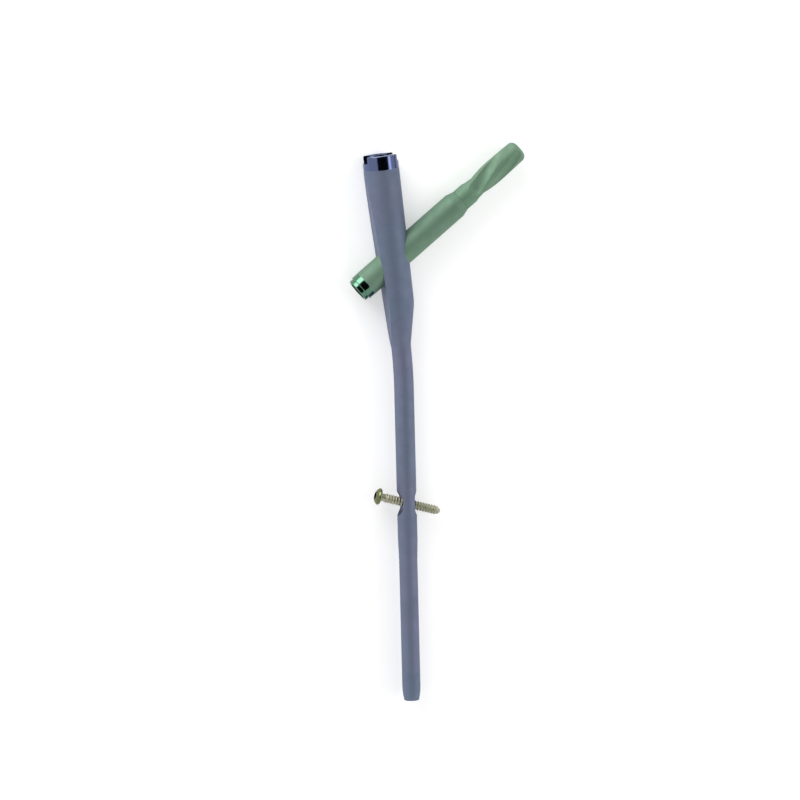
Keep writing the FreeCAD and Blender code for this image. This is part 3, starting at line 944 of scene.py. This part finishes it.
@dataclass
class BladeAssembly:
    """Sleeve and helical blade, and the finishes of the small parts inside the sleeve.

    The sizes are in millimetres, and stations are from the crossing with the nail's axis.
    """

    layout: Layout
    sleeve_dia: float = 11.75
    sleeve_rear_reach: float = 19.8
    sleeve_length: float = 59.8
    lip_dia: float = 10.6
    lip_length: float = 1.9
    lip_round: float = 0.5
    cone_length: float = 3.5
    front_dia: float = 9.85
    driver_bore_dia: float = 8.8
    nut_bore_dia: float = 8.2
    bearing_bore_dia: float = 6.4
    bearing_length: float = 19.8
    bolt_shoulder_depth: float = 12.7
    ring_groove_start: float = 6.9
    ring_groove_width: float = 0.9
    ring_groove_depth: float = 0.5
    key_width: float = 1.5
    key_height: float = 0.25
    wire_bore_dia: float = 3.4
    seat_gap: float = 0.05
    running_clearance: float = 0.05
    collar_length: float = 4.3
    head_length: float = 30.05
    swell_dia: float = 10.15
    swell_from_collar: float = 13.0
    head_end_dia: float = 9.6
    tip_dia: float = 5.2
    tip_length: float = 2.7
    tip_shoulder_dia: float = 8.5
    tip_shoulder_length: float = 0.9
    flute_count: int = 4
    flute_cutter_dia: float = 7.5
    flute_core_dia: float = 6.5
    flute_twist: float = 3.2
    flute_start_from_collar: float = 3.75
    flute_start_angle: float = 84.0
    flute_runout_angle: float = 2.5
    journal_dia: float = 5.1
    journal_rear: float = 12.85
    shaft_rear: float = 18.7
    journal_groove_dia: float = 4.2
    journal_groove_start: float = 14.85
    journal_groove_end: float = 15.85
    edge_round: float = 0.15
    face_round: float = 0.12
    shoulder_round: float = 0.3
    cone_round: float = 2.0
    journal_round: float = 0.2
    flute_edge_round: float = 0.12
    sleeve_segments: int = 144
    blade_segments: int = 288
    head_steps: int = 160
    tip_steps: int = 24

    @property
    def sleeve_rear(self) -> float:
        """Station of the sleeve's rear end."""
        return -self.sleeve_rear_reach

    @property
    def sleeve_front(self) -> float:
        """Station of the sleeve's front end."""
        return self.sleeve_rear + self.sleeve_length

    @property
    def bolt_shoulder(self) -> float:
        """Station of the shoulder that the lock bolt pulls against."""
        return self.sleeve_rear + self.bolt_shoulder_depth

    @property
    def bearing_start(self) -> float:
        """Station where the sleeve's bearing for the blade starts."""
        return self.sleeve_front - self.bearing_length

    @property
    def collar_end(self) -> float:
        """Station where the fluted head starts."""
        return self.sleeve_front + self.seat_gap + self.collar_length

    @property
    def tip(self) -> float:
        """Station of the blade's tip."""
        return self.collar_end + self.head_length

    def keyway(self) -> bpy.types.Object:
        """Cutter for the keyway that the draw nut's key slides in."""
        half = self.key_width / 2 + self.running_clearance
        top = self.nut_bore_dia / 2 + self.key_height + self.running_clearance
        corners = ((0.0, -half), (top, -half), (top, half), (0.0, half))
        ends = (self.bolt_shoulder, self.bearing_start)
        return prism("keyway", [[Vector((x, y, station)) for x, y in corners] for station in ends])

    def sleeve(self) -> bpy.types.Object:
        """Builds the sleeve with its stepped bore, ring groove, keyway and rear lip."""
        rear, front = self.sleeve_rear, self.sleeve_front
        radius, lip, mouth = self.sleeve_dia / 2, self.lip_dia / 2, self.front_dia / 2
        driver, nut = self.driver_bore_dia / 2, self.nut_bore_dia / 2
        bearing = self.bearing_bore_dia / 2
        groove, groove_start = driver + self.ring_groove_depth, rear + self.ring_groove_start
        groove_end = groove_start + self.ring_groove_width
        corners = [
            (rear, driver, self.edge_round), (rear, lip, self.lip_round),
            (rear + self.lip_length, lip, self.edge_round),
            (rear + self.lip_length, radius, self.shoulder_round),
            (front - self.cone_length, radius, self.cone_round), (front, mouth, self.face_round),
            (front, bearing, self.face_round), (self.bearing_start, bearing),
            (self.bearing_start, nut), (self.bolt_shoulder, nut), (self.bolt_shoulder, driver),
            (groove_end, driver), (groove_end, groove), (groove_start, groove), (groove_start, driver)]
        piece = revolved("sleeve_body", rounded(corners, True), True, self.sleeve_segments)
        cut(piece, [self.keyway()])
        finish = SAGE_ANODISED.material(self.layout.blade())
        return self.dressed(piece, finish, "sleeve", "blade_sleeve")

    def blade(self) -> bpy.types.Object:
        """Builds the helical blade from a turned blank with milled flutes."""
        journal, groove = self.journal_dia / 2, self.journal_groove_dia / 2
        wire = self.wire_bore_dia / 2
        bearing = self.bearing_bore_dia / 2 - self.running_clearance
        collar, collar_rear = self.front_dia / 2, self.sleeve_front + self.seat_gap
        swell = (self.collar_end + self.swell_from_collar, self.swell_dia / 2)
        nose_start = (self.tip - self.tip_length, self.head_end_dia / 2)
        nose_shoulder = (self.tip - self.tip_shoulder_length, self.tip_shoulder_dia / 2)
        tip_edge = (self.tip, self.tip_dia / 2)
        corners = [
            (self.tip, wire, self.edge_round), (self.journal_rear, wire, self.edge_round),
            (self.journal_rear, journal, self.journal_round),
            (self.journal_groove_start, journal), (self.journal_groove_start, groove),
            (self.journal_groove_end, groove), (self.journal_groove_end, journal),
            (self.shaft_rear, journal), (self.shaft_rear, bearing, self.journal_round),
            (collar_rear, bearing), (collar_rear, collar, self.face_round), (self.collar_end, collar)]
        outline = rounded(corners, True)
        outline += three_point_arc((self.collar_end, collar), swell, nose_start, self.head_steps)
        outline += three_point_arc(nose_start, nose_shoulder, tip_edge, self.tip_steps)
        piece = revolved("blade_body", outline, True, self.blade_segments)
        path = (self.flute_core_dia + self.flute_cutter_dia) / 2
        twist = math.radians(self.flute_twist)
        finish = BLADE_ANODISED.material(self.layout.blade())
        MILL_FLUTES.shape(
            piece, finish, Flutes=float(self.flute_count), Path_radius=path * MM,
            Path_growth=math.tan(math.radians(self.flute_runout_angle)),
            Cutter_radius=self.flute_cutter_dia / 2 * MM, Lean=1 / math.hypot(1.0, path * twist),
            Twist=twist / MM, Start=(self.collar_end + self.flute_start_from_collar) * MM,
            Start_angle=math.radians(self.flute_start_angle), Edge_round=self.flute_edge_round * MM)
        return self.dressed(piece, finish, "blade", "helical_blade")

    def dressed(
        self, piece: bpy.types.Object, finish: bpy.types.Material, body: str, node: str
    ) -> bpy.types.Object:
        """Places, shades and finishes a piece of the blade, and sets it on its body.

        Args:
            piece: The piece in the blade's frame.
            finish: Its material.
            body: The body that it rides on.
            node: The node that it replaces.

        Returns:
            The piece.
        """
        piece.data.transform(self.layout.blade())
        smoothed(piece)
        piece.data.materials.clear()
        piece.data.materials.append(finish)
        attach(piece, body)
        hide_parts(node)
        return piece

    def inner_parts(self, nodes: Mapping[str, bpy.types.Object]) -> list[bpy.types.Object]:
        """Gives the small parts inside the sleeve their finishes.

        Args:
            nodes: The nodes of the frame by name.

        Returns:
            The nodes that it dressed.
        """
        metals = {
            "lock_bolt": PLAIN_TITANIUM, "draw_nut": PLAIN_TITANIUM,
            "bolt_ring": SPRING_STEEL, "journal_ring": SPRING_STEEL,
        }
        for name, metal in metals.items():
            nodes[name].data.materials.clear()
            nodes[name].data.materials.append(metal.material(self.layout.blade()))
        return [nodes[name] for name in metals]


@dataclass
class LockingScrew:
    """The distal locking screw: domed head with a hexagonal recess, thread and point.

    The sizes are in millimetres, and stations are from the shaft's axis.
    """

    layout: Layout
    nail: Nail
    tilt: float = 16.3
    outer_dia: float = 4.1
    neck_dia: float = 3.5
    neck_length: float = 2.2
    under_head_reach: float = 12.3
    tip_reach: float = 15.1
    point_length: float = 1.9
    point_dia: float = 2.6
    point_round: float = 0.6
    head_dia: float = 7.5
    head_edge: float = 0.6
    head_chamfer: float = 0.27
    head_height: float = 2.3
    dome_shoulder_dia: float = 6.0
    dome_shoulder_height: float = 1.05
    hex_flats: float = 3.5
    hex_depth: float = 1.6
    recess_point_share: float = 0.2
    recess_point_depth: float = 0.5
    thread_pitch: float = 1.26
    thread_depth: float = 0.34
    thread_crest_share: float = 0.16
    thread_root_share: float = 0.34
    thread_end_gap: float = 0.4
    fine_end_gap: float = 0.1
    under_head_round: float = 0.15
    thread_start_round: float = 0.1
    point_start_round: float = 1.0
    point_shoulder_round: float = 0.4
    point_end_round: float = 0.2
    segments: int = 96
    dome_steps: int = 16
    steps_per_pitch: int = 32

    def place(self) -> Matrix:
        """Frame on the screw's axis, with its origin on the shaft's axis."""
        origin = self.nail.on_centre_line(Vector((0.0, 0.0, self.nail.slot_station * MM)))
        angle = math.radians(self.nail.bend_angle + self.tilt)
        along = Vector((math.cos(angle), -math.sin(angle), 0.0))
        return frame_matrix(origin, along, -UP)

    def build(self) -> bpy.types.Object:
        """Builds the screw's piece.

        Returns:
            The piece, riding on its body.
        """
        place = self.place()
        finish = OLIVE_ANODISED.material(place)
        head_start = -self.under_head_reach
        edge = (head_start - self.head_edge, self.head_dia / 2)
        top = head_start - self.head_height
        shoulder = (edge[0] - self.dome_shoulder_height, self.dome_shoulder_dia / 2)
        crown = (top, self.hex_flats / 2)
        neck, outer, point = self.neck_dia / 2, self.outer_dia / 2, self.point_dia / 2
        neck_end = head_start + self.neck_length
        outline: Outline = [(top, 0.0), crown]
        outline += three_point_arc(crown, shoulder, edge, self.dome_steps)
        outline += rounded([
            edge, (head_start, self.head_dia / 2 - self.head_chamfer, self.under_head_round),
            (head_start, neck, self.under_head_round), (neck_end, neck, self.thread_start_round),
            (neck_end + outer - neck, outer, self.thread_start_round),
            (self.tip_reach - self.point_length, outer, self.point_start_round),
            (self.tip_reach - self.point_round, point, self.point_shoulder_round),
            (self.tip_reach, point - self.point_round, self.point_end_round),
            (self.tip_reach, 0.0)], False)[1:]
        fine_step, fine_end = self.thread_pitch / self.steps_per_pitch, self.tip_reach - self.fine_end_gap
        outline = divided(outline, fine_step, neck_end, fine_end, False)
        piece = revolved("screw_body", outline, False, self.segments)
        CUT_THREAD.shape(
            piece, finish, Pitch=self.thread_pitch * MM, Depth=self.thread_depth * MM,
            Crest_share=self.thread_crest_share, Root_share=self.thread_root_share,
            Start=neck_end * MM, End=(self.tip_reach - self.thread_end_gap) * MM,
            Run_out=self.thread_pitch * MM, Least_radius=point * MM)
        recess_end = top + self.hex_depth
        recess_point = hexagon(
            self.hex_flats * self.recess_point_share, recess_end + self.recess_point_depth)
        recess = [
            hexagon(self.hex_flats, top - CUTTER_REACH), hexagon(self.hex_flats, recess_end),
            recess_point]
        cut(piece, [prism("recess", recess)])
        piece.data.transform(place)
        smoothed(piece, BLUNT_ANGLE)
        piece.data.materials.clear()
        piece.data.materials.append(finish)
        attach(piece, "screw")
        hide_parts("locking_screw")
        return piece


# The studio


@dataclass(frozen=True)
class Camera:
    """The camera, aimed from an azimuth and an elevation at a point of the object.

    Attributes:
        azimuth: Turn from straight above towards the lateral side, in degrees.
        elevation: Tilt towards the nail's top, in degrees.
        roll: Turn of the picture, in degrees.
        target: Point at the picture's centre, in metres.
        distance: Distance from the target, in metres.
        lens: Focal length, in millimetres.
        nearest: Distance where the camera starts to see, in metres.
        furthest: Distance where it stops, in metres.
    """

    azimuth: float = 11.0
    elevation: float = 8.0
    roll: float = -6.37
    target: tuple[float, float, float] = (-0.0031, -0.1044, 0.0)
    distance: float = 2.901
    lens: float = 300.0
    nearest: float = 0.01
    furthest: float = 50.0

    def build(self) -> None:
        """Creates the camera and makes it the scene's own."""
        azimuth, elevation, roll = (math.radians(v) for v in (self.azimuth, self.elevation, self.roll))
        back = Vector((
            -math.sin(azimuth) * math.cos(elevation), math.sin(elevation),
            math.cos(azimuth) * math.cos(elevation)))
        level = TOWARDS_TOP.cross(back).normalized()
        upright = back.cross(level)
        right = level * math.cos(roll) + upright * math.sin(roll)
        data = bpy.data.cameras.new("camera")
        data.lens = self.lens
        data.clip_start, data.clip_end = self.nearest, self.furthest
        camera = bpy.data.objects.new("camera", data)
        camera.matrix_world = frame_matrix(Vector(self.target) + back * self.distance, back, right)
        bpy.context.scene.collection.objects.link(camera)
        bpy.context.scene.camera = camera


@dataclass(frozen=True)
class Softbox:
    """One area lamp aimed at a point of the object.

    Attributes:
        name: The lamp's name.
        place: Its place, in metres.
        size: Width and height, in metres.
        power: Its power, in watts.
    """

    name: str
    place: tuple[float, float, float]
    size: tuple[float, float]
    power: float

    def build(self, target: Vector) -> None:
        """Creates the lamp, aimed at a target."""
        data = bpy.data.lights.new(self.name, "AREA")
        data.shape = "RECTANGLE"
        data.size, data.size_y = self.size
        data.energy = self.power
        lamp = bpy.data.objects.new(self.name, data)
        back = (Vector(self.place) - target).normalized()
        level = TOWARDS_TOP.cross(back).normalized()
        lamp.matrix_world = frame_matrix(Vector(self.place), back, level)
        bpy.context.scene.collection.objects.link(lamp)


@dataclass(frozen=True)
class Studio:
    """White studio with a pale floor, two soft lamps and a dark card over the object.

    Attributes:
        key: Lamp past the nail's top, which brings out the polished ends.
        side: Lamp on the medial side.
        ambient: Strength of the world's light on the object, where 1 is white.
        floor_colour: Colour of the floor.
        floor_radius: The floor's radius, in metres.
        floor_segments: Number of faces round it.
        floor_lift: Glow added to the floor as the camera and reflections see it.
        white_from: Distance from the object where the floor starts to turn white, in metres.
        white_to: Distance where it is white.
        card_colour: Colour of the card.
        card_centre: The card's centre, in metres.
        card_half_width: Half its width, in metres.
        card_half_length: Half its length, in metres.
    """

    key: Softbox = Softbox("key", (-0.78, 1.28, 0.68), (1.2, 1.2), 15.0)
    side: Softbox = Softbox("side", (1.3, -0.2, 1.1), (0.5, 1.6), 5.5)
    ambient: float = 0.62
    floor_colour: str = "F0F0F0"
    floor_radius: float = 6.0
    floor_segments: int = 96
    floor_lift: float = 0.36
    white_from: float = 0.3
    white_to: float = 0.9
    card_colour: str = "141418"
    card_centre: tuple[float, float, float] = (0.1, 0.35, 1.2)
    card_half_width: float = 0.85
    card_half_length: float = 0.95

    def seen(self, tree: bpy.types.NodeTree) -> bpy.types.NodeSocket:
        """Adds a factor of 1 for camera, glossy and transmission rays."""
        path = tree.nodes.new("ShaderNodeLightPath")
        both = add_node(
            tree, "ShaderNodeMath", {"operation": "MAXIMUM"}, path.outputs["Is Camera Ray"],
            path.outputs["Is Glossy Ray"])
        return add_node(
            tree, "ShaderNodeMath", {"operation": "MAXIMUM"}, both, path.outputs["Is Transmission Ray"])

    def world(self) -> None:
        """Lights the scene evenly and shows pure white."""
        world = bpy.data.worlds.new("white studio")
        bpy.context.scene.world = world
        world.use_nodes = True
        tree = world.node_tree
        tree.nodes.clear()
        strength = add_node(tree, "ShaderNodeMapRange", {}, self.seen(tree), 0.0, 1.0, self.ambient, 1.0)
        light = add_node(tree, "ShaderNodeBackground", {}, WHITE, strength)
        add_node(tree, "ShaderNodeOutputWorld", {}, light)

    def floor(self, height: float) -> None:
        """Lays the pale floor, which keeps the object's shadow and is white further out."""
        centre = MIDDLE + UP * height
        outline = [(0.0, 0.0), (0.0, self.floor_radius / MM)]
        floor = revolved("floor", outline, False, self.floor_segments)
        floor.data.transform(Matrix.Translation(centre))
        material = bare_material("pale_floor")
        tree = material.node_tree
        coordinates = tree.nodes.new("ShaderNodeTexCoord").outputs["Object"]
        away = add_node(
            tree, "ShaderNodeVectorMath", {"operation": "DISTANCE"}, coordinates, centre)
        away = away.node.outputs["Value"]
        far = add_node(
            tree, "ShaderNodeMapRange", {"interpolation_type": "SMOOTHSTEP"},
            away, self.white_from, self.white_to, 0.0, 1.0)
        seen = self.seen(tree)
        far = add_node(tree, "ShaderNodeMath", {"operation": "MULTIPLY"}, far, seen)
        lift = add_node(tree, "ShaderNodeMath", {"operation": "MULTIPLY"}, seen, self.floor_lift)
        paint = add_node(tree, "ShaderNodeBsdfDiffuse", {}, linear(self.floor_colour))
        glow = add_node(tree, "ShaderNodeEmission", {}, WHITE, lift)
        near = add_node(tree, "ShaderNodeAddShader", {}, paint, glow)
        white = add_node(tree, "ShaderNodeEmission", {}, WHITE, 1.0)
        surface = add_node(tree, "ShaderNodeMixShader", {}, far, near, white)
        add_node(tree, "ShaderNodeOutputMaterial", {}, surface)
        floor.data.materials.append(material)
        floor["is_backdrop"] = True

    def card(self) -> None:
        """Hangs the dark card over the object, where only reflections see it."""
        centre = Vector(self.card_centre)
        across = Vector((self.card_half_width, 0.0, 0.0))
        down = Vector((0.0, self.card_half_length, 0.0))
        signs = ((-1, -1), (1, -1), (1, 1), (-1, 1))
        mesh = bmesh.new()
        mesh.faces.new([mesh.verts.new(centre + across * a + down * b) for a, b in signs])
        card = finished_object("overhead_card", mesh)
        material = bare_material("matt_black_card")
        tree = material.node_tree
        surface = add_node(tree, "ShaderNodeEmission", {}, linear(self.card_colour), 1.0)
        add_node(tree, "ShaderNodeOutputMaterial", {}, surface)
        card.data.materials.append(material)
        for ray in ("camera", "diffuse", "shadow", "transmission"):
            setattr(card, f"visible_{ray}", False)
        card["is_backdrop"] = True

    def build(self, floor_height: float) -> None:
        """Builds the world, the floor, the lamps, the card and the camera."""
        bpy.context.scene.view_settings.view_transform = "Standard"
        self.world()
        self.floor(floor_height)
        for lamp in (self.key, self.side):
            lamp.build(MIDDLE)
        self.card()
        Camera().build()


def main() -> None:
    """Builds every piece and the studio, and reports each piece."""
    logging.basicConfig(level=logging.INFO, format="%(name)s: %(message)s")
    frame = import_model()
    cad_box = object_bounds()
    layout = Layout(frame["joints"])
    nail = Nail(layout)
    blade = BladeAssembly(layout)
    screw = LockingScrew(layout, nail)
    pieces = [nail.build(), blade.sleeve(), blade.blade(), screw.build()]
    pieces += blade.inner_parts(frame["nodes"])
    for piece in pieces:
        triangles = sum(len(face.vertices) - 2 for face in piece.data.polygons)
        log.info("%s: %d triangles, %s", piece.name, triangles, piece.data.materials[0].name)
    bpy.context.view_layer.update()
    Studio().build(cad_box[0][2])


if __name__ == "__main__":
    main()
